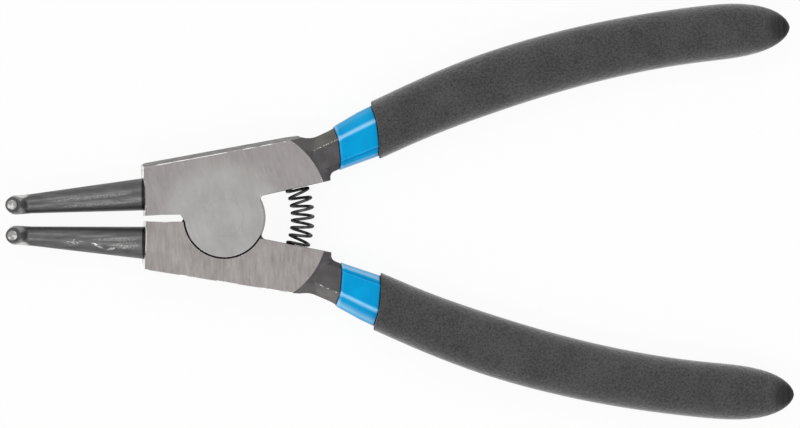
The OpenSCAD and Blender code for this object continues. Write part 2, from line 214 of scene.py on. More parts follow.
class NodeKit:
    """The node tree of a material or a world, with short calls for the nodes that finishes share."""

    # Places of a colour mix's inputs and of its output
    mix_share: int = 0
    mix_low: int = 6
    mix_high: int = 7
    mix_colour: int = 2
    # Usual range of a noise, and the share of a patch that is solid
    noise_range: Pair = (0.3, 0.7)
    patch_core: float = 0.55

    def __init__(self, owner: ID) -> None:
        """Take up the owner's node tree."""
        owner.use_nodes = True
        self.tree = owner.node_tree

    def add(self, kind: str, inputs: Inputs | None = None, **settings: object) -> Node:
        """Add a node, set its properties and feed its inputs.

        Args:
            kind: Blender's name for the node type, after its prefix.
            inputs: Sockets or plain values, by the inputs' names or places.
            **settings: Properties of the node.

        Returns:
            The new node.
        """
        node = self.tree.nodes.new(f"ShaderNode{kind}")
        for name, value in settings.items():
            setattr(node, name, value)
        for place, value in (inputs or {}).items():
            self.feed(node.inputs[place], value)
        return node

    def feed(self, target: NodeSocket, value: object) -> None:
        """Link a socket to an input, or set the input to a plain value.

        Args:
            target: The input.
            value: Socket or plain value.
        """
        if isinstance(value, NodeSocket):
            self.tree.links.new(value, target)
        else:
            target.default_value = value

    def grain(self, scale: Triple, turn: float = 0.0, offset: Triple = (0, 0, 0)) -> NodeSocket:
        """Object coordinates, turned about Z and stretched.

        Args:
            scale: Repeats per metre along each axis.
            turn: Angle by which the pattern's X axis is turned from the object's.
            offset: Shift that centres the pattern, before the stretch.

        Returns:
            The mapped coordinates.
        """
        inputs = {
            "Vector": self.add("TexCoord").outputs["Object"],
            "Location": offset,
            "Rotation": (0, 0, turn),
            "Scale": [1 / repeats for repeats in scale],
        }
        return self.add("Mapping", inputs, vector_type="TEXTURE").outputs["Vector"]

    def noise(self, scale: Triple, turn: float = 0.0, detail: float = 2.0,
              roughness: float = 0.5) -> NodeSocket:
        """Noise about 0.5 on a grain, with octaves of detail and a weight for the finer ones."""
        inputs = {"Vector": self.grain(scale, turn), "Scale": 1.0, "Detail": detail, "Roughness": roughness}
        return self.add("TexNoise", inputs).outputs["Fac"]

    def cells(self, scale: Triple) -> NodeSocket:
        """Distance to the nearest of points that are scattered on a grain."""
        return self.add("TexVoronoi", {"Vector": self.grain(scale), "Scale": 1.0}).outputs["Distance"]

    def remap(self, value: NodeSocket, low: float, high: float, new_low: float = 0.0,
              new_high: float = 1.0) -> NodeSocket:
        """Map the values from low to high smoothly to new ones, held at the ends."""
        inputs = {"Value": value, "From Min": low, "From Max": high, "To Min": new_low, "To Max": new_high}
        return self.add("MapRange", inputs, interpolation_type="SMOOTHSTEP").outputs["Result"]

    def spread(self, noise: NodeSocket, low: float, high: float) -> NodeSocket:
        """Spread a noise's usual range between two values."""
        return self.remap(noise, *self.noise_range, low, high)

    def both(self, first: NodeSocket, second: object, how: str = "MULTIPLY") -> NodeSocket:
        """Combine a value with another one, or with a number, by a math node's operation."""
        return self.add("Math", {0: first, 1: second}, operation=how).outputs["Value"]

    def total(self, *parts: tuple[NodeSocket, float]) -> NodeSocket:
        """Sum of values, each times its weight."""
        weighted = [self.both(value, weight) for value, weight in parts]
        return reduce(lambda first, second: self.both(first, second, "ADD"), weighted)

    def mix(self, share: NodeSocket, low: object, high: object) -> NodeSocket:
        """Mix two colours, plain or linked: a share of 0 gives the low one and 1 the high one."""
        inputs = {self.mix_share: share, self.mix_low: low, self.mix_high: high}
        return self.add("Mix", inputs, data_type="RGBA").outputs[self.mix_colour]

    def ramp(self, value: NodeSocket, *stops: tuple[float, Colour]) -> NodeSocket:
        """Colour between two stops.

        Args:
            value: Place on the ramp.
            *stops: The two stops' places and colours, in order.

        Returns:
            The colour.
        """
        node = self.add("ValToRGB", {"Fac": value})
        for element, (place, colour) in zip(node.color_ramp.elements, stops):
            element.position = place
            element.color = colour
        return node.outputs["Color"]

    def layer(self, name: str) -> NodeSocket:
        """Value of one of the mesh's own attributes."""
        return self.add("Attribute", attribute_name=name).outputs["Fac"]

    def along(self, axis: str = "X") -> NodeSocket:
        """Place along one of the part's axes."""
        place = self.add("TexCoord").outputs["Object"]
        return self.add("SeparateXYZ", {"Vector": place}).outputs[axis]

    def patch(self, centre: Triple, half: Triple, turn: float = 0.0) -> NodeSocket:
        """Mask of a long soft patch on the object.

        Args:
            centre: Middle of the patch, in the part's frame.
            half: Half the patch's size along each axis.
            turn: Angle by which the patch is turned about Z.

        Returns:
            The mask, 1 in the middle and 0 outside.
        """
        place = self.grain([1 / size for size in half], turn, centre)
        away = self.add("VectorMath", {0: place}, operation="LENGTH").outputs["Value"]
        return self.remap(away, self.patch_core, 1.0, 1.0, 0.0)


class PaintKit(NodeKit):
    """A material's node tree, round one principled shader."""

    def __init__(self, name: str) -> None:
        """Start a material.

        Args:
            name: Name of the material.
        """
        self.material = bpy.data.materials.new(name)
        super().__init__(self.material)
        self.tree.nodes.clear()
        self.shader = self.add("BsdfPrincipled")
        self.output = self.add("OutputMaterial", {"Surface": self.shader.outputs["BSDF"]})

    def surface(self, **values: object) -> None:
        """Set or link the shader's inputs.

        Args:
            **values: Sockets or plain values, by the inputs' names with underscores.
        """
        sockets = {socket.name.lower().replace(" ", "_"): socket for socket in self.shader.inputs}
        for name, value in values.items():
            self.feed(sockets[name], value)

    def relief(self, height: NodeSocket, depth: float, strength: float) -> None:
        """Bump the surface by a height of 0 to 1 that is some metres deep, at a share of its strength."""
        bump = self.add("Bump", {"Height": height, "Distance": depth, "Strength": strength})
        self.surface(normal=bump.outputs["Normal"])


@dataclass(frozen=True)
class Finish:
    """Finish of a surface."""

    name: str

    def lay(self, kit: PaintKit) -> None:
        """Lay the finish on a material, as each kind of finish does in its own way."""
        raise NotImplementedError

    def material(self) -> Material:
        """Make the finish's material.

        Returns:
            The new material.
        """
        kit = PaintKit(self.name)
        self.lay(kit)
        return kit.material


@dataclass(frozen=True)
class GroundSteel(Finish):
    """Flat-ground bare steel with short streaks, a few pits and a brighter field round the pivot."""

    streak_turn: float
    dark: Colour
    light: Colour
    pit: Colour = srgb(84, 80, 77)
    nick: Colour = srgb(184, 182, 180)
    nick_turn: float = radians(6)
    burnish: float = 0.0
    burnish_spread: Pair = (-0.25, 0.2)
    bright: Colour = srgb(164, 163, 161)
    bright_half: Triple = (17 * MM, 15 * MM, 60 * MM)
    fine_grain: Triple = (4200, 560, 560)
    streak_grain: Triple = (1500, 230, 230)
    cloud_grain: Triple = (190, 120, 120)
    nick_grain: Triple = (1700, 380, 380)
    pit_grain: Triple = even(260)
    rare_grain: Triple = even(210)

    def lay(self, kit: PaintKit) -> None:
        """Lay the streaks, the bright field, the nicks and the pits.

        Args:
            kit: Nodes of the material.
        """
        fine = kit.noise(self.fine_grain, self.streak_turn, detail=3)
        streak = kit.noise(self.streak_grain, self.streak_turn, detail=3)
        cloud = kit.noise(self.cloud_grain, self.streak_turn, detail=4, roughness=0.6)
        level = kit.total((fine, 0.25), (streak, 0.4), (cloud, 0.35))
        steel = kit.ramp(level, (0.34, self.dark), (0.66, self.light))
        if self.burnish:
            worn = kit.spread(cloud, *[self.burnish + step for step in self.burnish_spread])
            disc = kit.patch((0, 0, MID_Z), self.bright_half)
            steel = kit.mix(kit.both(disc, worn), steel, self.bright)
        strokes = kit.noise(self.nick_grain, self.streak_turn + self.nick_turn)
        steel = kit.mix(kit.remap(strokes, 0.64, 0.8, new_high=0.35), steel, self.nick)
        pits = kit.remap(kit.cells(self.pit_grain), 0.06, 0.1, 1.0, 0.0)
        rare = kit.remap(kit.noise(self.rare_grain, detail=0), 0.62, 0.7)
        steel = kit.mix(kit.both(pits, rare), steel, self.pit)
        kit.surface(base_color=steel, metallic=1.0, roughness=kit.spread(fine, 0.42, 0.52))
        kit.relief(fine, 0.01 * MM, 0.2)


@dataclass(frozen=True)
class BareEdge(Finish):
    """Sharp steel edge with bright nicks and burrs."""

    plain: Colour
    bright: Colour = srgb(240, 239, 237)
    share: float = 0.55
    soft: float = 0.08
    grain: float = 260
    smooth: float = 0.25

    def lay(self, kit: PaintKit) -> None:
        """Lay bright nicks on the plain edge.

        Args:
            kit: Nodes of the material.
        """
        nicks = kit.noise(even(self.grain), detail=4, roughness=0.6)
        bare = kit.remap(nicks, self.share, self.share + self.soft)
        kit.surface(base_color=kit.mix(bare, self.plain, self.bright), metallic=0.9)
        kit.surface(roughness=kit.spread(nicks, 0.55, self.smooth))
        kit.relief(nicks, 0.05 * MM, 0.5)


@dataclass(frozen=True)
class SawnEnd(Finish):
    """Bright end face of a jaw with grey nicks, most of them along its rear edge."""

    bright: Colour = srgb(248, 247, 245)
    nick: Colour = srgb(128, 125, 122)
    nick_grain: Triple = (420, 420, 140)
    rim_h: float = 2.6 * MM
    rim_more: float = 0.22

    def lay(self, kit: PaintKit) -> None:
        """Lay grey nicks on the bright face.

        Args:
            kit: Nodes of the material.
        """
        rough = kit.noise(self.nick_grain, detail=4, roughness=0.65)
        foot = kit.remap(kit.along("Z"), 0.0, self.rim_h, self.rim_more, 0.0)
        nicks = kit.remap(kit.both(rough, foot, "ADD"), 0.58, 0.68)
        kit.surface(base_color=kit.mix(nicks, self.bright, self.nick), metallic=1.0)
        kit.surface(roughness=kit.spread(rough, 0.5, 0.4))
        kit.relief(rough, 0.03 * MM, 0.4)


@dataclass(frozen=True)
class ScuffOrHighlight:
    """Long patch, in millimetres and degrees, that is rubbed or carries a painted highlight, from single
    flecks to a solid stroke.
    """

    at: Pair
    half: Pair
    turn: float = 0.0
    cut: float = 0.0
    soft: float = 0.0
    share: float = 1.0
    z: float = MID_Z / MM
    half_h: float = 60

    def mask(self, kit: NodeKit) -> NodeSocket:
        """1 in the middle of the patch and 0 outside it."""
        sizes = [size * MM for size in (*self.at, self.z, *self.half, self.half_h)]
        return kit.patch(sizes[:3], sizes[3:], radians(self.turn))


@dataclass(frozen=True)
class ForgedSteel(Finish):
    """Dark skin of the forging, slightly uneven, with a painted highlight patch, or a painted lighter tone
    of a lit face that fades in along X.
    """

    dark: Colour = srgb(70, 67, 69)
    light: Colour = srgb(84, 81, 83)
    rubbed: Colour = srgb(140, 137, 133)
    # painted lighter tone of a lit face, fading in between these places along X
    lit_fade: Pair | None = None
    # painted highlight patch and its colour
    painted_highlight: ScuffOrHighlight | None = None
    painted_highlight_colour: Colour = srgb(104, 102, 100)
    mottle_grain: Triple = even(330)
    grit_grain: Triple = even(3200)

    def lay(self, kit: PaintKit) -> None:
        """Lay the mottled skin, its painted highlight patch or painted lit tone, and a few rubbed spots.

        Args:
            kit: Nodes of the material.
        """
        mottle = kit.noise(self.mottle_grain, detail=5, roughness=0.6)
        skin = kit.ramp(mottle, (0.36, self.dark), (0.66, self.light))
        if self.lit_fade:
            plain = kit.ramp(mottle, (0.36, ForgedSteel.dark), (0.66, ForgedSteel.light))
            skin = kit.mix(kit.remap(kit.along(), *self.lit_fade), plain, skin)
        if self.painted_highlight:
            skin = kit.mix(kit.both(self.painted_highlight.mask(kit), self.painted_highlight.share), skin, self.painted_highlight_colour)
        skin = kit.mix(kit.remap(mottle, 0.7, 0.76), skin, self.rubbed)
        kit.surface(base_color=skin, metallic=0.35, roughness=kit.spread(mottle, 0.62, 0.46))
        kit.relief(kit.both(mottle, kit.noise(self.grit_grain), "ADD"), 0.04 * MM, 0.4)


@dataclass(frozen=True)
class BlackenedSteel(Finish):
    """Black-oxide tip rod, drawn lengthwise, with scuffs where rings have rubbed it, a painted highlight on
    the outer side of the bend and painted shade at the jaw.
    """

    lean: float
    scuffs: tuple[ScuffOrHighlight, ...]
    dark: Colour = srgb(82, 81, 82)
    light: Colour = srgb(104, 103, 103)
    # colour of the scuffs, and of the painted highlight on the outer bend
    bare: Colour = srgb(232, 231, 229)
    # painted shade on the rod where it meets the jaw: its colour, where it ends and how softly it fades
    jaw_shade: Colour = srgb(30, 27, 27)
    jaw_shade_x: float = -18.7 * MM
    jaw_shade_soft: float = 0.25 * MM
    drawn_grain: Triple = (120, 1300, 1300)
    blotch_grain: Triple = (500, 900, 900)
    fleck_grain: Triple = (2200, 3400, 3400)

    def lay(self, kit: PaintKit) -> None:
        """Lay the drawn skin, the scuffs, the painted highlight at the outer bend and the painted shade
        where the rod meets the jaw.

        Args:
            kit: Nodes of the material.
        """
        drawn = kit.noise(self.drawn_grain, self.lean, detail=4)
        blotch = kit.noise(self.blotch_grain, self.lean, detail=4, roughness=0.6)
        level = kit.total((drawn, 0.6), (blotch, 0.4))
        skin = kit.ramp(level, (0.36, self.dark), (0.66, self.light))
        flecks = kit.noise(self.fleck_grain, self.lean, detail=4, roughness=0.6)
        worn = kit.remap(flecks, 0.72, 0.82, new_high=0.7)
        # the scuffs, and the painted highlight on the outer bend
        for scuff in self.scuffs:
            rubbed = kit.remap(flecks, scuff.cut, scuff.cut + scuff.soft, new_high=scuff.share)
            worn = kit.both(worn, kit.both(scuff.mask(kit), rubbed), "MAXIMUM")
        # painted shade next to the jaw
        shade_at_jaw = kit.remap(kit.along(), self.jaw_shade_x - self.jaw_shade_soft, self.jaw_shade_x)
        steel = kit.mix(shade_at_jaw, kit.mix(worn, skin, self.bare), self.jaw_shade)
        kit.surface(base_color=steel, metallic=0.75, roughness=kit.remap(level, 0.35, 0.65, 0.44, 0.34))
        kit.relief(level, 0.03 * MM, 0.35)


@dataclass(frozen=True)
class SpringWire(Finish):
    """Oiled dark spring wire."""

    dark: Colour = srgb(32, 31, 31)
    light: Colour = srgb(84, 82, 82)
    mottle_grain: Triple = even(900)

    def lay(self, kit: PaintKit) -> None:
        """Lay the mottled wire.

        Args:
            kit: Nodes of the material.
        """
        mottle = kit.noise(self.mottle_grain, detail=4)
        kit.surface(base_color=kit.ramp(mottle, (0.35, self.dark), (0.7, self.light)))
        kit.surface(metallic=0.5, roughness=kit.spread(mottle, 0.42, 0.28))
        kit.relief(mottle, 0.01 * MM, 0.5)


@dataclass(frozen=True)
class GlossDip(Finish):
    """Glossy plastic of the first dip, with painted shade along its ends and before the grip's mouth,
    painted highlights over its creases and edges, and painted shade along its inner crease.
    """

    deep: Colour = srgb(0, 150, 214)
    clear: Colour = srgb(2, 168, 228)
    # painted shade along the inner crease
    crease_shade: Colour = srgb(0, 122, 188)
    # painted highlight over the creases and edges
    highlight_colour: Colour = srgb(156, 212, 250)
    # painted shade along the coat's ends and before the grip's mouth
    edge: Colour = srgb(8, 30, 54)
    gleam: Colour = (0.12, 0.7, 1.0, 1.0)
    cloud_grain: Triple = even(160)
    peel_grain: Triple = even(900)

    def lay(self, kit: PaintKit) -> None:
        """Lay the clouded plastic with its painted highlights, its painted shade along the inner crease and
        its painted shade along the ends.

        Args:
            kit: Nodes of the material.
        """
        cloud = kit.noise(self.cloud_grain, detail=3)
        plastic = kit.ramp(cloud, (0.35, self.deep), (0.65, self.clear))
        # above 0 a painted highlight, below 0 painted shade along the inner crease
        film = kit.layer("film")
        highlight = kit.both(kit.remap(film, 0.12, 0.85), kit.remap(cloud, 0.3, 0.6, 0.8, 1.0))
        shaded_plastic = kit.mix(kit.remap(film, -0.1, -0.7), plastic, self.crease_shade)
        # painted shade along the coat's start and before the grip's mouth
        rim = kit.remap(kit.layer("dip_edge"), 0.3, 0.9)
        skin = kit.mix(rim, kit.mix(highlight, shaded_plastic, self.highlight_colour), self.edge)
        kit.surface(base_color=skin, specular_tint=self.gleam, roughness=kit.spread(cloud, 0.16, 0.22))
        kit.relief(kit.noise(self.peel_grain), 0.02 * MM, 0.25)


@dataclass(frozen=True)
class FoamDip(Finish):
    """Matt foamed plastic of the second dip: pores, a dusty sheen and a smooth dark drip end."""

    bare: float
    # levels of the sheened foam and of the bare one; the bare ones are lighter, painted sheen for the sheen
    # that the bare finishes lack
    dark_levels: tuple[int, int] = (36, 52)
    light_levels: tuple[int, int] = (76, 86)
    pore: Colour = srgb(12, 12, 12)
    drip: Colour = srgb(12, 12, 12)
    drip_from: float = 101.1 * MM
    drip_to: float = 104.4 * MM
    gloss: float = 0.2
    dust: float = 0.95
    dust_spread: float = 0.53
    pebble_grain: Triple = even(2300)
    hole_grain: Triple = even(1050)
    cloud_grain: Triple = even(140)

    def tone(self, dusty: int, bare: int) -> Colour:
        """Grey between the level of the dusty foam and that of the bare one; the bare level is lighter, as
        painted sheen in place of the sheen that it lacks.
        """
        level = round(dusty + (bare - dusty) * self.bare)
        return srgb(level, level, level)

    def lay(self, kit: PaintKit) -> None:
        """Lay the foam, its pores, its dust and the drip end.

        Args:
            kit: Nodes of the material.
        """
        pebble = kit.noise(self.pebble_grain, detail=3, roughness=0.65)
        holes = kit.cells(self.hole_grain)
        level = kit.total((pebble, 0.75), (kit.noise(self.cloud_grain, detail=3), 0.25))
        foam = kit.ramp(level, (0.38, self.tone(*self.dark_levels)), (0.62, self.tone(*self.light_levels)))
        pores = kit.both(kit.remap(holes, 0.14, 0.3, 1.0, 0.0), kit.remap(pebble, 0.45, 0.55))
        end = kit.remap(kit.layer("station"), self.drip_from, self.drip_to)
        skin = kit.mix(end, kit.mix(pores, foam, self.pore), self.drip)
        kit.surface(base_color=skin, roughness=kit.remap(end, 0.0, 1.0, 0.85, 0.4))
        kit.surface(specular_ior_level=self.gloss, sheen_weight=self.dust * (1 - self.bare))
        kit.surface(sheen_roughness=self.dust_spread)
        kit.relief(kit.both(pebble, kit.both(holes, 0.5), "ADD"), 0.18 * MM, 0.9)


class Tube:
    """A tube that grows ring by ring: each new ring is extruded and carried to its place."""

    def __init__(self, bm: BMesh, ring: list[BMVert], place: Matrix) -> None:
        """Start from a ring in the XY plane.

        Args:
            bm: Mesh that holds the ring.
            ring: Vertices of the ring.
            place: Where the first ring goes.
        """
        self.bm = bm
        self.ring = ring
        self.edges = self.edges_of(ring)
        self.first = self.edges
        self.place = place
        bmesh.ops.transform(bm, matrix=place, verts=ring)

    @classmethod
    def rod(cls, bm: BMesh, sides: int, places: list[Matrix]) -> "Tube":
        """Grow a closed round rod.

        Args:
            bm: Mesh that the rod is added to.
            sides: Points of each ring.
            places: Where the unit circle goes, ring by ring.

        Returns:
            The rod, at its last ring.
        """
        ring = bmesh.ops.create_circle(bm, cap_ends=True, segments=sides, radius=1.0)["verts"]
        tube = cls(bm, ring, places[0])
        for place in places[1:]:
            tube.grow(place)
        tube.close()
        bmesh.ops.recalc_face_normals(bm, faces=bm.faces)
        return tube

    def edges_of(self, ring: list[BMVert]) -> list[BMEdge]:
        """Edges that run round a ring."""
        members = set(ring)
        return list({e for v in ring for e in v.link_edges if e.other_vert(v) in members})

    def grow(self, place: Matrix) -> list[BMVert]:
        """Extrude the last ring to a new place.

        Args:
            place: Where the new ring goes.

        Returns:
            Vertices of the new ring.
        """
        grown = bmesh.ops.extrude_edge_only(self.bm, edges=self.edges)["geom"]
        self.ring = [item for item in grown if isinstance(item, BMVert)]
        self.edges = self.edges_of(self.ring)
        bmesh.ops.transform(self.bm, matrix=place @ self.place.inverted(), verts=self.ring)
        self.place = place
        return self.ring

    def close(self) -> None:
        """Fill the last ring."""
        bmesh.ops.holes_fill(self.bm, edges=self.edges, sides=0)


@dataclass
class Piece:
    """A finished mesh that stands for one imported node."""

    name: str
    node: str
    body: str
    slot: Slot
    materials: list[Material]
    sharp_angle: float = radians(32)

    def publish(self, bm: BMesh) -> Object:
        """Make the mesh an object, shade it and say what it stands for.

        Args:
            bm: Finished mesh, in the part's frame. It is freed.

        Returns:
            The new object.
        """
        mesh = mesh_from(self.name, bm, self.materials)
        mesh.shade_smooth()
        mesh.set_sharp_from_angle(angle=self.sharp_angle)
        piece = place_object(mesh)
        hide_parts(self.node)
        LOG.info("%s: %d faces, stands for %s", self.name, len(mesh.polygons), self.node)
        return piece

    def mount(self, bm: BMesh) -> Object:
        """Publish the mesh and let it ride on its body."""
        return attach(self.publish(bm), self.body)


@dataclass(frozen=True)
class HandleLine:
    """Centreline of a handle: a straight start, then a long bow back towards the middle."""

    start_x: float = 25.4 * MM
    start_y: float = 15.5 * MM
    end_span: float = 83.6 * MM
    straight_l: float = 16 * MM
    bow_r: float = 230 * MM
    length: float = 107.8 * MM
    cap_l: float = 20 * MM
    cap_power: float = 3.0
    cap_root: float = 1.75
    bow_steps: int = 24
    cap_steps: int = 12
    cap_stop: float = radians(88)

    @property
    def start_heading(self) -> float:
        """Heading of the straight start.

        Returns:
            The angle to the X axis that brings the bowed end to half the span.
        """
        bow = (self.length - self.straight_l) / self.bow_r
        end = Vector((self.straight_l + self.bow_r * sin(bow), self.bow_r * (cos(bow) - 1)))
        return asin((self.end_span / 2 - self.start_y) / end.length) - atan2(end.y, end.x)

    def place(self, s: float) -> Matrix:
        """Frame on the centreline: X to the outer side, Y up and Z along the handle.

        Args:
            s: Distance along the handle from the first dip line.

        Returns:
            The frame's matrix.
        """
        first = self.start_heading
        heading = first - max(0.0, s - self.straight_l) / self.bow_r
        straight = min(s, self.straight_l)
        x = self.start_x + straight * cos(first) + self.bow_r * (sin(first) - sin(heading))
        y = self.start_y + straight * sin(first) + self.bow_r * (cos(heading) - cos(first))
        ahead = (cos(heading), sin(heading), 0)
        return frame_at((x, y, MID_Z), (-sin(heading), cos(heading), 0), (0, 0, 1), ahead)

    def stations(self, end: float) -> list[float]:
        """Stations along the bow and round the closed end of a layer.

        Args:
            end: Where the layer ends.

        Returns:
            Distances along the handle, in order.
        """
        cap_start = end - self.cap_l
        bow_l = cap_start - self.straight_l
        bow = [self.straight_l + bow_l * i / self.bow_steps for i in range(self.bow_steps)]
        return bow + [cap_start + self.cap_l * sin(angle) for angle in fan(self.cap_stop, self.cap_steps)]

    def cap(self, s: float, end: float) -> float:
        """Share of the full section that is left at a station of a layer's closed end."""
        into = max(0.0, s - end + self.cap_l) / self.cap_l
        return max(0.0, 1 - into ** self.cap_power) ** (1 / self.cap_root)


@dataclass(frozen=True)
class DipLine:
    """Edge that a dip leaves: skewed to the handle and bulged along its flat faces."""

    skew: float = radians(16)
    bulge: float = 0.8 * MM

    def shift(self, out: float, share: float) -> float:
        """Shift of the line along the handle, at a distance and a share of the width to the outer side."""
        return out * tan(self.skew) + self.bulge * (1 - share * share)


@dataclass
class InnerCoat:
    """Thin glossy coat over the forged shank, closed over the handle's end like a sock."""

    side: Side
    finish: Material
    line: HandleLine = HandleLine()
    dip: DipLine = DipLine()
    thickness: float = 0.35 * MM
    edge_l: float = 0.6 * MM
    edge_steps: int = 4
    # rings at the coat's start that get painted shade
    edge_rings: int = 3
    bead_l: float = 1.1 * MM
    # rings of the start's rounded bead, and the painted highlight they get
    bead_rings: int = 2
    bead_film: float = 0.25
    mouth_s: float = 9.75 * MM
    shadow_l: float = 0.45 * MM
    shadow_steps: Triple = (-1.0, -0.35, 1.0)
    shadow_rings: int = 2
    end_wall: float = 3 * MM
    neck_outer: float = 4.25 * MM
    neck_inner: float = 4.6 * MM
    flare_outer: float = 5.05 * MM
    flare_l: float = 7.8 * MM
    shank_w: float = 10.6 * MM
    shank_t: float = 6.8 * MM
    outer_crease: float = 2 * MM
    outer_side_h: float = 2 * MM
    inner_bevel_w: float = 1.5 * MM
    inner_side_h: float = 3.4 * MM
    tuck: float = 0.02 * MM
    crease_r: float = 0.95 * MM
    corner_steps: int = 2
    flat_gap: float = 1e-6 * MM
    # painted highlights: where they start and end towards each side, how strong they are, and their share on
    # the side walls
    outer_highlight_span: Pair = (3.9 * MM, 5.3 * MM)
    inner_thin: Pair = (4.2 * MM, 5.1 * MM)
    outer_film: float = 0.75
    inner_film: float = 0.85
    wall_highlight_share: float = 0.35
    # painted shade along the inner crease
    pool_film: float = -0.75

    @property
    def end(self) -> float:
        """Station at which the coat's outside is closed."""
        return self.line.length - self.end_wall

    def sides(self, s: float) -> Pair:
        """Measure the bare shank at a station.

        Args:
            s: Distance along the handle.

        Returns:
            Distances from the centreline to the inner and the outer side.
        """
        near = held(s / self.flare_l)
        far = held((s - self.flare_l) / (self.line.straight_l - self.flare_l))
        full = self.shank_w / 2
        flared = self.neck_outer + (self.flare_outer - self.neck_outer) * near
        return self.neck_inner + (full - self.neck_inner) * near, flared + (full - self.flare_outer) * far

    def across(self, s: float, grow: float) -> Pair:
        """Middle and half width of the section that stands off the bare shank."""
        inner, outer = self.sides(s)
        return (outer - inner) / 2, (outer + inner) / 2 + grow

    def film(self, at: Vector) -> float:
        """Tell how much painted highlight or painted shade a point of the section gets.

        Args:
            at: Point of the section, outwards and up from its middle.

        Returns:
            1 for a full painted highlight over the creases and edges, 0 on the flats and -1 for painted
            shade along the inner crease.
        """
        level = 0.0
        inner_crease = self.inner_bevel_w - self.shank_w / 2
        for out, pull in ((self.outer_crease, 1.0), (inner_crease, self.pool_film)):
            away = Vector((at.x - out, abs(at.y) - self.shank_t / 2)).length
            level += pull * max(0.0, 1 - away / self.crease_r)
        for reach, (start, end), wall_h, most in (
            (at.x, self.outer_highlight_span, self.outer_side_h, self.outer_film),
            (-at.x, self.inner_thin, self.inner_side_h, self.inner_film),
        ):
            share = self.wall_highlight_share if reach > 0 and abs(at.y) < wall_h / 2 else 1.0
            level += most * smoothstep((reach - start) / (end - start)) * share
        return level

    def section(self, bm: BMesh) -> list[BMVert]:
        """Draw the shank's bevelled section, of half size 1 each way, with rounded corners.

        Args:
            bm: Mesh that the ring is added to.

        Returns:
            Vertices of the ring, in the XY plane.
        """
        half_w = self.shank_w / 2
        half_t = self.shank_t / 2
        upper = [(half_w, self.outer_side_h / 2), (self.outer_crease, half_t),
                 (self.inner_bevel_w - half_w, half_t), (-half_w, self.inner_side_h / 2)]
        corners = upper + [(u, -v) for u, v in reversed(upper)]
        face = bm.faces.new([bm.verts.new((u, v, 0)) for u, v in corners])
        bmesh.ops.bevel(bm, geom=face.verts[:], offset=self.crease_r, offset_type="OFFSET",
                        affect="VERTICES", segments=self.corner_steps, profile=0.5, material=-1)
        face = next(f for f in bm.faces if all(abs(v.co.z) < self.flat_gap for v in f.verts))
        ring = face.verts[:]
        film = bm.verts.layers.float.get("film")
        if film:
            for vert in ring:
                vert[film] = self.film(vert.co.to_2d())
        bmesh.ops.delete(bm, geom=[face], context="FACES_ONLY")
        bmesh.ops.scale(bm, vec=(1 / half_w, 1 / half_t, 1), verts=ring)
        return ring

    def ring_place(self, s: float, grow: float, end: float) -> Matrix:
        """Place of a ring that stands off the bare shank.

        Args:
            s: Station of the ring.
            grow: Distance from the shank's surface.
            end: Where the ring's layer is closed.

        Returns:
            Matrix that takes the unit section there.
        """
        left = self.line.cap(s, end)
        middle, half_w = self.across(s, grow)
        shift = Matrix.Translation((middle * left, 0, 0))
        return self.line.place(s) @ shift @ stretch(half_w * left, (self.shank_t / 2 + grow) * left)

    def drape(self, ring: list[BMVert], s: float, grow: float) -> None:
        """Move a ring from its flat place onto the dip line.

        Args:
            ring: Vertices of the ring.
            s: Station of the ring.
            grow: Distance from the shank's surface.
        """
        flat = self.line.place(s).inverted()
        middle, half_w = self.across(s, grow)
        for vert in ring:
            local = flat @ vert.co
            share = (local.x - middle) / half_w
            at = s + self.dip.shift(local.x, share)
            new_middle, new_half = self.across(at, grow)
            vert.co = self.line.place(at) @ Vector((new_middle + share * new_half, local.y, 0))

    def wall(self, bm: BMesh, rims: list[Pair], stations: list[float], grow: float,
             end: float) -> tuple[Tube, list[list[BMVert]]]:
        """Grow one wall of the coat, from its rim on the dip line to its closed end.

        Args:
            bm: Mesh that the wall is added to.
            rims: Stations and stand-offs of the rings that lie on the dip line.
            stations: Stations of the other rings.
            grow: Stand-off of the other rings.
            end: Where the wall is closed.

        Returns:
            The tube, and the rim's rings.
        """
        places = [self.ring_place(s, stand, end) for s, stand in rims]
        tube = Tube(bm, self.section(bm), places[0])
        rings = [tube.ring] + [tube.grow(place) for place in places[1:]]
        for s in stations:
            tube.grow(self.ring_place(s, grow, end))
        tube.close()
        for ring, (s, stand) in zip(rings, rims):
            self.drape(ring, s, stand)
        return tube, rings

    def build(self) -> None:
        """Model the coat and hand it over."""
        bm = bmesh.new()
        # painted shade at the coat's start and before the grip's mouth
        dark = bm.verts.layers.float.new("dip_edge")
        # painted highlights and painted crease shade, for each vertex
        film = bm.verts.layers.float.new("film")
        ends = [(self.edge_l * (1 - cos(a)), self.thickness * sin(a)) for a in fan(pi / 2, self.edge_steps)]
        flare = self.flare_l - self.dip.shift(self.shank_w / 2, 1.0)
        mouth = [self.mouth_s + self.shadow_l * step for step in self.shadow_steps]
        rims = ends + [(s, self.thickness) for s in [self.bead_l, flare] + mouth]
        outer, rings = self.wall(bm, rims, self.line.stations(self.end), self.thickness, self.end)
        for vert in chain(*rings[:self.edge_rings], *rings[-self.shadow_rings:]):
            vert[dark] = 1.0
        # painted highlight along the start's rounded bead
        for vert in chain(*rings[self.edge_rings:][:self.bead_rings]):
            vert[film] += self.bead_film
        inner_end = self.end - self.thickness
        stations = [self.flare_l] + self.line.stations(inner_end)
        inner, _ = self.wall(bm, [(0.0, -self.tuck)], stations, -self.tuck, inner_end)
        bmesh.ops.bridge_loops(bm, edges=outer.first + inner.first)
        bmesh.ops.recalc_face_normals(bm, faces=bm.faces)
        bmesh.ops.transform(bm, matrix=self.side.turn, verts=bm.verts)
        side = self.side.value
        piece = Piece(f"{side}_blue_coat", f"{side}_inner_sleeve", self.side.body, Slot.BLUE, [self.finish])
        piece.mount(bm)


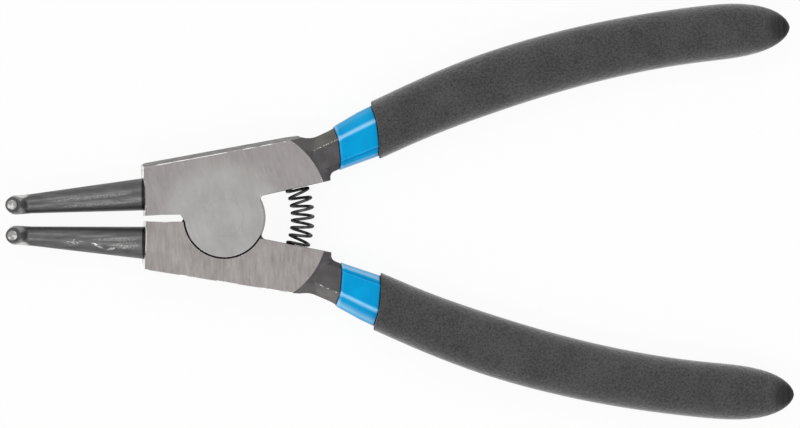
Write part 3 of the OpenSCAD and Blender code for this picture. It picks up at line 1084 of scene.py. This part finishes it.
@dataclass
class FoamGrip:
    """Thick foamed grip over the inner coat, with a rounded mouth and a pointed round end."""

    side: Side
    finishes: list[Material]
    coat: InnerCoat
    drip_s: float = 99 * MM
    drip_lag: float = 2.6 * MM
    rim_finish: int = 3
    rim_r: float = 0.35 * MM
    rim_steps: int = 4
    mouth_w: float = 12.7 * MM
    belly_w: float = 13.6 * MM
    belly_s: float = 40 * MM
    end_w: float = 12.7 * MM
    thickness: float = 10 * MM
    softness: float = 2.7
    ring_points: int = 72

    @property
    def line(self) -> HandleLine:
        """Centreline that the grip follows."""
        return self.coat.line

    def width(self, s: float) -> float:
        """Width of the grip at a station, eased between mouth, belly and end.

        Args:
            s: Distance along the handle.

        Returns:
            The full width.
        """
        if s < self.belly_s:
            mouth = self.coat.mouth_s
            share = smoothstep((s - mouth) / (self.belly_s - mouth))
            return self.mouth_w + (self.belly_w - self.mouth_w) * share
        cap_start = self.line.length - self.line.cap_l
        share = smoothstep((s - self.belly_s) / (cap_start - self.belly_s))
        return self.belly_w + (self.end_w - self.belly_w) * share

    def section(self, bm: BMesh) -> list[BMVert]:
        """Draw the soft section, between an ellipse and a box, of half size 1 each way.

        Args:
            bm: Mesh that the ring is added to.

        Returns:
            Vertices of the ring, in the XY plane.
        """
        ring = bmesh.ops.create_circle(bm, segments=self.ring_points, radius=1.0)["verts"]
        for vert in ring:
            for axis, size in enumerate(vert.co.to_2d()):
                vert.co[axis] = copysign(abs(size) ** (2 / self.softness), size)
        return ring

    def ring_place(self, s: float, inset: float = 0.0) -> Matrix:
        """Place of a ring of the grip's outside.

        Args:
            s: Station of the ring.
            inset: Distance inside the full section.

        Returns:
            Matrix that takes the unit section there.
        """
        left = self.line.cap(s, self.line.length)
        half_w = (self.width(s) / 2 - inset) * left
        return self.line.place(s) @ stretch(half_w, (self.thickness / 2 - inset) * left)

    def drape(self, ring: list[BMVert], s: float, inset: float) -> None:
        """Move a ring from its flat place onto the grip's dip line.

        Args:
            ring: Vertices of the ring.
            s: Station of the ring.
            inset: Distance inside the full section.
        """
        flat = self.line.place(s).inverted()
        half_w = self.width(s) / 2 - inset
        for vert in ring:
            local = flat @ vert.co
            local.z = self.coat.dip.shift(local.x, local.x / half_w)
            vert.co = flat.inverted() @ local

    def outside(self, bm: BMesh) -> Tube:
        """Grow the outside from its rounded rim to its closed end, and dress it.

        Args:
            bm: Mesh that the outside is added to.

        Returns:
            The tube.
        """
        station = bm.verts.layers.float["station"]
        mouth = self.coat.mouth_s
        turns = fan(pi / 2, self.rim_steps)
        rims = [(mouth + self.rim_r * (1 - cos(a)), self.rim_r * (1 - sin(a))) for a in turns]
        tube = Tube(bm, self.section(bm), self.ring_place(*rims[0]))
        rings = [tube.ring] + [tube.grow(self.ring_place(*rim)) for rim in rims[1:]]
        drip = []
        for s in self.line.stations(self.line.length):
            unit = self.ring_place(s).inverted()
            for vert in tube.grow(self.ring_place(s)):
                vert[station] = s - self.drip_lag * (unit @ vert.co).x ** 2
            if s > self.drip_s:
                drip.append(tube.ring)
        for ring, rim in zip(rings, rims):
            self.drape(ring, *rim)
        tube.close()
        for step, ring in enumerate(drip):
            dress(ring, min(step, len(self.finishes) - 1))
        for ring in rings[:-1]:
            dress(ring, self.rim_finish)
        return tube

    def build(self) -> None:
        """Model the grip and hand it over."""
        bm = bmesh.new()
        bm.verts.layers.float.new("station")
        outer = self.outside(bm)
        coat = self.coat
        rim = [(coat.mouth_s, coat.thickness)]
        inner, _ = coat.wall(bm, rim, self.line.stations(coat.end), coat.thickness, coat.end)
        for face in bmesh.ops.bridge_loops(bm, edges=outer.first + inner.first)["faces"]:
            face.material_index = self.rim_finish
        bmesh.ops.recalc_face_normals(bm, faces=bm.faces)
        bmesh.ops.transform(bm, matrix=self.side.turn, verts=bm.verts)
        side = self.side.value
        Piece(f"{side}_foam_grip", f"{side}_grip", self.side.body, Slot.FOAM, self.finishes).mount(bm)


@dataclass
class TipRod:
    """Tapered rod pressed into the jaw, bent up at a right angle and stepped down to a pin."""

    side: Side
    finishes: list[Material]
    jaw_x: float = 18.2 * MM
    offset_y: float = 5.55 * MM
    base_d: float = 7.4 * MM
    bend_d: float = 4.4 * MM
    shoulder_d: float = 3.5 * MM
    pin_d: float = 2.2 * MM
    pin_l: float = 2.5 * MM
    length: float = 29.3 * MM
    bent_l: float = 12 * MM
    bend_r: float = 3.2 * MM
    spigot_d: float = 5.6 * MM
    spigot_l: float = 7 * MM
    counterbore_l: float = 1.6 * MM
    chamfer: float = 0.12 * MM
    bend_steps: int = 16
    points: int = 56
    end_finish: int = 1

    @property
    def seat(self) -> Matrix:
        """Frame in which X runs out along the rod and Z the way it is bent."""
        turn = Matrix.Rotation(pi + self.side.sign * TIP_LEAN, 4, "Z")
        return Matrix.Translation((-self.jaw_x, self.side.sign * self.offset_y, MID_Z)) @ turn

    def ring_place(self, x: float, z: float, angle: float, diameter: float) -> Matrix:
        """Place of a ring along and above the rod, where its centreline has turned up by an angle."""
        ring = frame_at((x, 0, z), (0, 1, 0), (-sin(angle), 0, cos(angle)), (cos(angle), 0, sin(angle)))
        return self.seat @ ring @ stretch(diameter / 2, diameter / 2)

    def rings(self) -> list[Matrix]:
        """Place the rod's rings.

        Returns:
            Places of all rings, from the spigot to the pin's end.
        """
        bend_x = self.length - self.bend_r
        pin_z = self.bent_l - self.pin_l
        seat_x = -self.counterbore_l
        rod = [(seat_x - self.spigot_l, self.spigot_d), (seat_x, self.spigot_d), (seat_x, self.base_d),
               (0.0, self.base_d)]
        places = [self.ring_place(x, 0.0, 0.0, d) for x, d in rod]
        for angle in fan(pi / 2, self.bend_steps):
            x = bend_x + self.bend_r * sin(angle)
            places.append(self.ring_place(x, self.bend_r * (1 - cos(angle)), angle, self.bend_d))
        step = self.chamfer
        end = [(pin_z - step, self.shoulder_d), (pin_z, self.shoulder_d - 2 * step), (pin_z, self.pin_d),
               (self.bent_l - step, self.pin_d), (self.bent_l, self.pin_d - 2 * step)]
        return places + [self.ring_place(self.length, z, pi / 2, d) for z, d in end]

    def build(self) -> None:
        """Model the rod and hand it over."""
        bm = bmesh.new()
        dress(Tube.rod(bm, self.points, self.rings()).ring, self.end_finish)
        side = self.side.value
        Piece(f"{side}_tip_rod", f"{side}_tip", self.side.body, Slot.TIP, self.finishes).mount(bm)


@dataclass
class PivotRivet:
    """Flush rivet with a countersunk head at each face."""

    finish: Material
    radius: float = 3 * MM
    head_h: float = 1.2 * MM
    fill: float = 0.03 * MM
    steps: int = 72
    weld: float = 0.001 * MM

    def build(self) -> None:
        """Spin the rivet's profile and hand it over."""
        bm = bmesh.new()
        head_r = self.radius + self.head_h + self.fill
        lower = [(0.0, 0.0), (head_r, 0.0), (self.radius, self.head_h)]
        profile = lower + [(r, JOINT_T - z) for r, z in reversed(lower)]
        verts = [bm.verts.new((r, 0, z)) for r, z in profile]
        edges = [bm.edges.new(pair) for pair in zip(verts, verts[1:])]
        bmesh.ops.spin(bm, geom=verts + edges, cent=(0, 0, 0), axis=(0, 0, 1), angle=2 * pi,
                       steps=self.steps, use_merge=True)
        bmesh.ops.remove_doubles(bm, verts=bm.verts, dist=self.weld)
        bmesh.ops.recalc_face_normals(bm, faces=bm.faces)
        Piece("flush_rivet", "pivot_rivet", Side.REAR.body, Slot.RIVET, [self.finish]).mount(bm)


@dataclass
class ReturnSpring:
    """Coil spring between the levers, bent round the pivot and seated in a hole at each end."""

    finish: Material
    outer_d: float = 5.5 * MM
    wire_d: float = 0.7 * MM
    path_r: float = 17.6 * MM
    half_l: float = 9.43 * MM
    arc_l: float = 6.33 * MM
    open_turns: int = 9
    closed_pitch: float = 0.74 * MM
    turn_steps: int = 40
    wire_points: int = 14
    probe: float = 0.25
    steep: float = 0.9
    sharp_angle: float = radians(60)

    def along(self, turn: float) -> float:
        """Distance along the coil's axis, from the middle plane.

        Args:
            turn: Turns since the rear end.

        Returns:
            The signed distance.
        """
        total = self.open_turns + 2
        pitch = 2 * (self.half_l - self.closed_pitch) / self.open_turns
        if turn < 1:
            return -self.half_l + turn * self.closed_pitch
        if turn > total - 1:
            return self.half_l - (total - turn) * self.closed_pitch
        return -self.half_l + self.closed_pitch + (turn - 1) * pitch

    def centre(self, turn: float) -> Vector:
        """Find a point on the wire's centreline.

        Args:
            turn: Turns since the rear end.

        Returns:
            The point.
        """
        s = self.along(turn)
        bent = min(self.arc_l, max(-self.arc_l, s))
        rest = s - bent
        bow = bent / self.path_r
        angle = pi - 2 * pi * turn
        mean_r = (self.outer_d - self.wire_d) / 2
        out = self.path_r + mean_r * cos(angle)
        x = out * cos(bow) - rest * sin(bow)
        y = out * sin(bow) + rest * cos(bow)
        return Vector((x, y, MID_Z + mean_r * sin(angle)))

    def ring_place(self, turn: float) -> Matrix:
        """Place of a ring square to the wire.

        Args:
            turn: Turns since the rear end.

        Returns:
            Matrix that takes the unit circle there.
        """
        step = self.probe / self.turn_steps
        ahead = (self.centre(turn + step) - self.centre(turn - step)).normalized()
        across = Vector((0, 0, 1)) if abs(ahead.z) < self.steep else Vector((0, 1, 0))
        side = across.cross(ahead).normalized()
        ring = frame_at(self.centre(turn), side, ahead.cross(side), ahead)
        return ring @ stretch(self.wire_d / 2, self.wire_d / 2)

    def build(self) -> None:
        """Wind the coil and let it bend between the two levers."""
        bm = bmesh.new()
        steps = (self.open_turns + 2) * self.turn_steps
        Tube.rod(bm, self.wire_points, [self.ring_place(k / self.turn_steps) for k in range(steps + 1)])
        piece = Piece("return_coil", "return_spring", Side.REAR.body, Slot.SPRING, [self.finish],
                      self.sharp_angle)
        coil = piece.publish(bm)
        reach = self.path_r * sin(self.arc_l / self.path_r)
        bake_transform(coil, Side.REAR.body, Side.FRONT.body, start=(self.path_r, -reach, MID_Z),
                 end=(self.path_r, reach, MID_Z))


@dataclass
class Lever:
    """Forged lever with ground faces, dressed over a merged copy of its solid."""

    side: Side
    finishes: list[Material]
    edge_break: float = 0.14 * MM
    crease_break: float = 0.13 * MM
    break_steps: int = 2
    weld: float = 0.002 * MM
    flat_angle: float = radians(1.5)
    edge_angle: float = radians(22)
    jaw_end_x: float = -16.5 * MM
    shoulder_x: float = 16.6 * MM
    outer_y: float = 10 * MM
    rivet_zone: float = 5 * MM
    crease_x: float = 32 * MM
    crease_h: float = 3 * MM
    line: HandleLine = HandleLine()
    # Limits on a face's height and on its normal, which tell the surfaces apart
    level_gap: float = 0.02 * MM
    level_z: float = 0.99
    upright_z: float = 0.2
    jaw_end_normal: float = -0.4
    jaw_side_normal: float = 0.9
    bevel_out: float = 0.5
    bevel_z: Pair = (0.6, 0.9)

    def skin_of(self, face: BMFace) -> Skin:
        """Tell which surface of the lever a face belongs to.

        Args:
            face: Face of the merged copy, turned to the front lever's place.

        Returns:
            The surface.
        """
        normal = face.normal
        centre = face.calc_center_median()
        height = min(abs(centre.z), abs(centre.z - JOINT_T))
        out = normal.dot(self.line.place(0.0).col[0].to_3d())
        bevelled = self.bevel_z[0] < abs(normal.z) < self.bevel_z[1]
        if abs(normal.z) > self.level_z and height < self.level_gap:
            return Skin.GROUND
        if normal.x < self.jaw_end_normal and centre.x < self.jaw_end_x:
            return Skin.JAW_END
        if out > self.bevel_out and bevelled and centre.x > self.shoulder_x:
            return Skin.BEVEL
        if normal.y > self.jaw_side_normal and centre.x < self.shoulder_x and centre.y > self.outer_y:
            return Skin.JAW_SIDE
        if abs(normal.z) < self.upright_z and centre.x < self.shoulder_x and centre.y < self.outer_y:
            return Skin.MILLED
        return Skin.FORGED

    def break_edges(self, bm: BMesh, edges: list[BMEdge], offset: float, skin: Skin) -> None:
        """Bevel some edges and paint the new faces.

        Args:
            bm: Mesh of the lever.
            edges: Edges to bevel.
            offset: Width of the bevel on each side.
            skin: Surface of the new faces.
        """
        made = bmesh.ops.bevel(bm, geom=edges, offset=offset, offset_type="OFFSET", affect="EDGES",
                               segments=self.break_steps, profile=0.5, material=-1, clamp_overlap=False,
                               loop_slide=True)
        for face in made["faces"]:
            face.material_index = skin.value

    def ridges(self, bm: BMesh, first: Skin, others: set[Skin]) -> list[BMEdge]:
        """Sharp outer edges between one surface and some others.

        Args:
            bm: Mesh of the lever.
            first: Surface on one side of the edges.
            others: Surfaces that may lie on the other side.

        Returns:
            The edges, without those round the rivet.
        """
        found = []
        for edge in bm.edges:
            if len(edge.link_faces) != 2 or not edge.is_convex or edge.calc_face_angle() < self.edge_angle:
                continue
            around = {Skin(face.material_index) for face in edge.link_faces}
            outside = all(vert.co.to_2d().length > self.rivet_zone for vert in edge.verts)
            if first in around and around & others and outside:
                found.append(edge)
        return found

    def creases(self, bm: BMesh) -> list[BMEdge]:
        """Edges along the top and the bottom of the neck's outer bevel.

        Args:
            bm: Mesh of the lever.

        Returns:
            The edges, as far as the coat covers them.
        """
        found = []
        for edge in self.ridges(bm, Skin.BEVEL, {Skin.FORGED}):
            middle = (edge.verts[0].co + edge.verts[1].co) / 2
            if abs(middle.z - MID_Z) > self.crease_h and middle.x < self.crease_x:
                found.append(edge)
        return found

    def build(self) -> None:
        """Model the dressed lever and hand it over."""
        node = f"{self.side.value}_lever"
        bm = bmesh.new()
        bm.from_mesh(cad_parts[node].data)
        bmesh.ops.remove_doubles(bm, verts=bm.verts, dist=self.weld)
        bmesh.ops.transform(bm, matrix=self.side.turn, verts=bm.verts)
        bmesh.ops.dissolve_limit(bm, angle_limit=self.flat_angle, verts=bm.verts, edges=bm.edges)
        bm.normal_update()
        for face in bm.faces:
            face.material_index = self.skin_of(face).value
        self.break_edges(bm, self.creases(bm), self.crease_break, Skin.CREASE)
        for others, offset, skin in (
            ({Skin.JAW_SIDE}, self.edge_break, Skin.BURR),
            ({Skin.JAW_END}, self.edge_break, Skin.JAW_RIM),
            ({Skin.MILLED, Skin.FORGED}, self.edge_break / 2, Skin.GROUND_EDGE),
        ):
            self.break_edges(bm, self.ridges(bm, Skin.GROUND, others), offset, skin)
        bmesh.ops.transform(bm, matrix=self.side.turn, verts=bm.verts)
        piece = Piece(f"{node}_forging", node, self.side.body, Slot.GROUND, self.finishes).mount(bm)
        piece.modifiers.new("flat_faces", "WEIGHTED_NORMAL").keep_sharp = True


@dataclass
class Studio:
    """Pale floor, soft light from two long boxes, and a camera straight above."""

    camera_at: Triple = (39.78 * MM, 0.35 * MM, 905 * MM)
    camera_roll: float = radians(-0.68)
    lens_mm: float = 177.8
    sensor_mm: float = 36
    floor_size: float = 12.0
    floor_gap: float = 0.05 * MM
    floor_colour: Colour = (0.9, 0.9, 0.9, 1.0)
    floor_roughness: float = 0.9
    shadow_share: float = 0.07
    world_level: float = 0.6
    upper_power: float = 1.9
    lower_power: float = 2.4
    box_size: Pair = (1.2, 0.08)
    box_y: float = 0.5
    box_z: float = 0.8
    middle: Triple = (39.8 * MM, 0, MID_Z)

    def seen_directly(self, kit: NodeKit) -> NodeSocket:
        """Find the rays that show the background itself.

        Args:
            kit: Nodes of the floor or the world.

        Returns:
            1 for rays from the camera, a mirror or glass, and 0 for all others.
        """
        rays = kit.add("LightPath").outputs
        shown = kit.both(rays["Is Camera Ray"], rays["Is Glossy Ray"], "MAXIMUM")
        return kit.both(shown, rays["Is Transmission Ray"], "MAXIMUM")

    def floor(self) -> None:
        """Lay the floor, white where it is seen, with the object's shadow."""
        kit = PaintKit("pale_floor")
        kit.surface(base_color=self.floor_colour, roughness=self.floor_roughness)
        white = kit.add("Emission").outputs["Emission"]
        share = kit.both(self.seen_directly(kit), 1 - self.shadow_share)
        blend = kit.add("MixShader", {"Fac": share, 1: kit.shader.outputs["BSDF"], 2: white})
        kit.feed(kit.output.inputs["Surface"], blend.outputs["Shader"])
        bm = bmesh.new()
        bmesh.ops.create_grid(bm, x_segments=1, y_segments=1, size=self.floor_size / 2)
        floor = place_object(mesh_from("floor", bm, [kit.material]))
        floor.location.z = CAD_BOX[0].z - self.floor_gap

    def world(self) -> None:
        """Fill light from all round, and a white background."""
        world = bpy.data.worlds.new("studio")
        kit = NodeKit(world)
        back = kit.tree.nodes["Background"].inputs
        kit.feed(back["Strength"], kit.remap(self.seen_directly(kit), 0.0, 1.0, self.world_level, 1.0))
        kit.feed(back["Color"], (1, 1, 1, 1))
        bpy.context.scene.world = world

    def lamps(self) -> None:
        """Hang a long soft box on either side."""
        for name, sign, power in (("upper_box", 1, self.upper_power), ("lower_box", -1, self.lower_power)):
            lamp = bpy.data.lights.new(name, "AREA")
            lamp.shape = "RECTANGLE"
            lamp.size, lamp.size_y = self.box_size
            lamp.energy = power
            box = place_object(lamp)
            box.location = Vector(self.middle) + Vector((0, sign * self.box_y, self.box_z))
            box.rotation_euler = (-sign * atan2(self.box_y, self.box_z), 0, 0)

    def camera(self) -> None:
        """Stand the camera straight above, as the photograph was taken."""
        data = bpy.data.cameras.new("camera")
        data.sensor_width = self.sensor_mm
        data.lens = self.lens_mm
        camera = place_object(data)
        camera.location = self.camera_at
        camera.rotation_euler = (0, 0, self.camera_roll)
        bpy.context.scene.camera = camera

    def build(self) -> None:
        """Set up floor, world, lamps and camera."""
        self.floor()
        self.world()
        self.lamps()
        self.camera()
        bpy.context.scene.view_settings.view_transform = "Standard"


def burnished(name: str) -> GroundSteel:
    """Ground steel of the front lever and the rivet, bright round the pivot."""
    return GroundSteel(name, radians(14), srgb(136, 132, 131), srgb(150, 146, 145), burnish=0.7)


def lever_finishes(side: Side) -> list[Material]:
    """Finishes of a lever's surfaces, in the order of its material slots.

    Args:
        side: Which lever.

    Returns:
        One material for each surface.
    """
    name = side.value
    ground = {
        Side.FRONT: burnished("front_ground"),
        Side.REAR: GroundSteel("rear_ground", 0.0, srgb(128, 123, 121), srgb(160, 155, 153)),
    }
    # the bevels are painted lighter than the forged skin as lit faces, the rear one most, on the more
    # strongly lit side
    bevel = {
        Side.FRONT: (srgb(88, 87, 83), srgb(104, 103, 99)),
        Side.REAR: (srgb(100, 98, 97), srgb(117, 115, 114)),
    }
    # painted highlight at the root of the outer bevel
    painted_highlight = ScuffOrHighlight((19.2, side.sign * 17.0), (5.5, 2.4), side.sign * 14, share=0.75)
    crease = srgb(92, 90, 88), srgb(172, 170, 168)
    rim = srgb(124, 121, 119), srgb(236, 235, 233)
    finishes = {
        Skin.FORGED: ForgedSteel(f"{name}_forged", painted_highlight=painted_highlight, painted_highlight_colour=bevel[side][0]),
        Skin.BEVEL: ForgedSteel(f"{name}_bevel", *bevel[side], lit_fade=(17 * MM, 22 * MM)),
        Skin.CREASE: BareEdge(f"{name}_crease", *crease, share=0.5, grain=1900, smooth=0.45),
        Skin.GROUND: ground[side],
        Skin.GROUND_EDGE: BareEdge(f"{name}_ground_edge", srgb(140, 138, 136), share=0.62),
        Skin.BURR: BareEdge(f"{name}_burr", srgb(160, 157, 155), share=0.47, grain=230),
        Skin.JAW_END: SawnEnd(f"{name}_jaw_end"),
        Skin.JAW_RIM: BareEdge(f"{name}_jaw_rim", *rim, share=0.52),
        Skin.JAW_SIDE: ForgedSteel(f"{name}_jaw_side", srgb(98, 96, 95), srgb(124, 122, 121)),
        Skin.MILLED: GroundSteel(f"{name}_milled", 0.0, srgb(104, 102, 100), srgb(132, 130, 128)),
    }
    return [finishes[skin].material() for skin in Skin]


def tip_finishes(side: Side) -> list[Material]:
    """Finishes of a tip rod and of its pin's end face.

    Args:
        side: Which rod.

    Returns:
        The rod's and the end face's materials.
    """
    # painted highlight on the outer side of the bend
    bend_highlight = ScuffOrHighlight((-46.9, side.sign * 5.35), (2.7, 0.75), side.sign * 8, cut=0.25, soft=0.3, share=0.85,
                 z=7, half_h=5)
    scuffs = {
        Side.FRONT: (
            ScuffOrHighlight((-30.5, 4.9), (11.5, 0.5), 5.2, cut=0.3, soft=0.45, share=0.27),
            ScuffOrHighlight((-28, 3.4), (10.5, 0.42), 3.6, cut=0.3, soft=0.45, share=0.24),
            ScuffOrHighlight((-34.8, 3.0), (2.4, 0.4), 3.6, cut=0.4, soft=0.4, share=0.42),
        ),
        Side.REAR: (
            ScuffOrHighlight((-25, -4.7), (6.5, 0.5), cut=0.3, soft=0.45, share=0.27),
            ScuffOrHighlight((-34.4, -5.25), (2.6, 1.0), cut=0.45, soft=0.3, share=0.55),
            ScuffOrHighlight((-22.5, -6.1), (4.2, 1.1), cut=0.4, soft=0.4, share=0.42),
            ScuffOrHighlight((-29.0, -6.0), (1.7, 0.34), -26, cut=0.4, soft=0.14, share=0.8),
            ScuffOrHighlight((-25.9, -6.75), (1.2, 0.26), 6, cut=0.42, soft=0.14, share=0.8),
        ),
    }
    rod = BlackenedSteel(f"{side.value}_blackened", -side.sign * TIP_LEAN, (bend_highlight, *scuffs[side]))
    face = srgb(146, 143, 141), srgb(214, 212, 210)
    end = BareEdge(f"{side.value}_pin_end", *face, share=0.5, grain=900)
    return [rod.material(), end.material()]


def grip_finishes(steps: int = 6) -> list[Material]:
    """Finishes of a grip, from its dusty length in steps to the bare drip at its end."""
    return [FoamDip(f"foam_dip_{step}", step / (steps - 1)).material() for step in range(steps)]


def main() -> None:
    """Build the pieces in order, then the studio."""
    logging.basicConfig(level=logging.INFO, format="%(message)s")
    blue = GlossDip("gloss_dip").material()
    foam = grip_finishes()
    # the rear coat's painted highlights reach further in, on its more strongly lit side
    rear_highlights = {"outer_highlight_span": (2.9 * MM, 5 * MM), "inner_thin": (3.9 * MM, 4.6 * MM)}
    coats = {Side.FRONT: InnerCoat(Side.FRONT, blue), Side.REAR: InnerCoat(Side.REAR, blue, **rear_highlights)}
    for side, coat in coats.items():
        Lever(side, lever_finishes(side)).build()
        TipRod(side, tip_finishes(side)).build()
        coat.build()
        FoamGrip(side, foam, coat).build()
    PivotRivet(burnished("rivet_ground").material()).build()
    ReturnSpring(SpringWire("spring_wire").material()).build()
    Studio().build()


if __name__ == "__main__":
    main()
